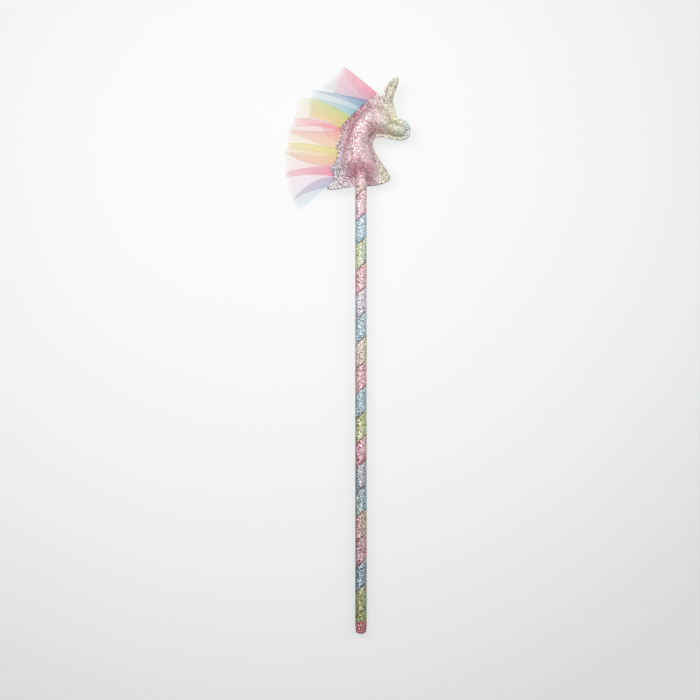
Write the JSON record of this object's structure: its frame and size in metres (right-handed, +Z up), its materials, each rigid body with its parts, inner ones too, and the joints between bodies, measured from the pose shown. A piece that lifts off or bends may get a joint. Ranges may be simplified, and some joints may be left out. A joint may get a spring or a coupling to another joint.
{
  "type": "toy magic wand",
  "caption": "Toy magic wand: a stick wound with a rainbow glitter strip, topped by a stuffed glitter unicorn head in profile with a fan of pleated tulle as its mane.",
  "frame": {"origin": "middle of the stick's butt face, on the stick's axis", "axes": "+Y along the stick from the butt towards the head, +X the way the unicorn looks, +Z up out of the head's front panel; the wand lies on its back panel"},
  "size_m": [0.1065, 0.4694, 0.0218],
  "materials": {
    "dowel_wood": "bare",
    "strip_glitter": "fine glitter, rainbow-dyed",
    "cap_glitter": "fine glitter",
    "head_glitter": "fine glitter, rainbow-dyed",
    "fibre_fill": "loose",
    "hot_glue": "smooth",
    "sewing_thread": "twisted",
    "tulle_rose_net": "sheer net",
    "tulle_blue_net": "sheer net",
    "tulle_yellow_net": "sheer net",
    "tulle_coral_net": "sheer net",
    "tulle_lemon_net": "sheer net",
    "tulle_pink_net": "sheer net",
    "tulle_lilac_net": "sheer net"
  },
  "bodies": {
    "root": {"dowel": "dowel_wood", "spiral_strip": "strip_glitter", "end_cap": "cap_glitter", "front_panel": "head_glitter", "back_panel": "head_glitter", "stuffing": "fibre_fill", "horn_stuffing": "fibre_fill", "glue_bead": "hot_glue", "needle_thread": "sewing_thread", "bobbin_thread": "sewing_thread", "tulle_rose": "tulle_rose_net", "tulle_blue": "tulle_blue_net", "tulle_yellow": "tulle_yellow_net", "tulle_coral": "tulle_coral_net", "tulle_lemon": "tulle_lemon_net", "tulle_pink": "tulle_pink_net", "tulle_lilac": "tulle_lilac_net"}
  },
  "joints": []
}
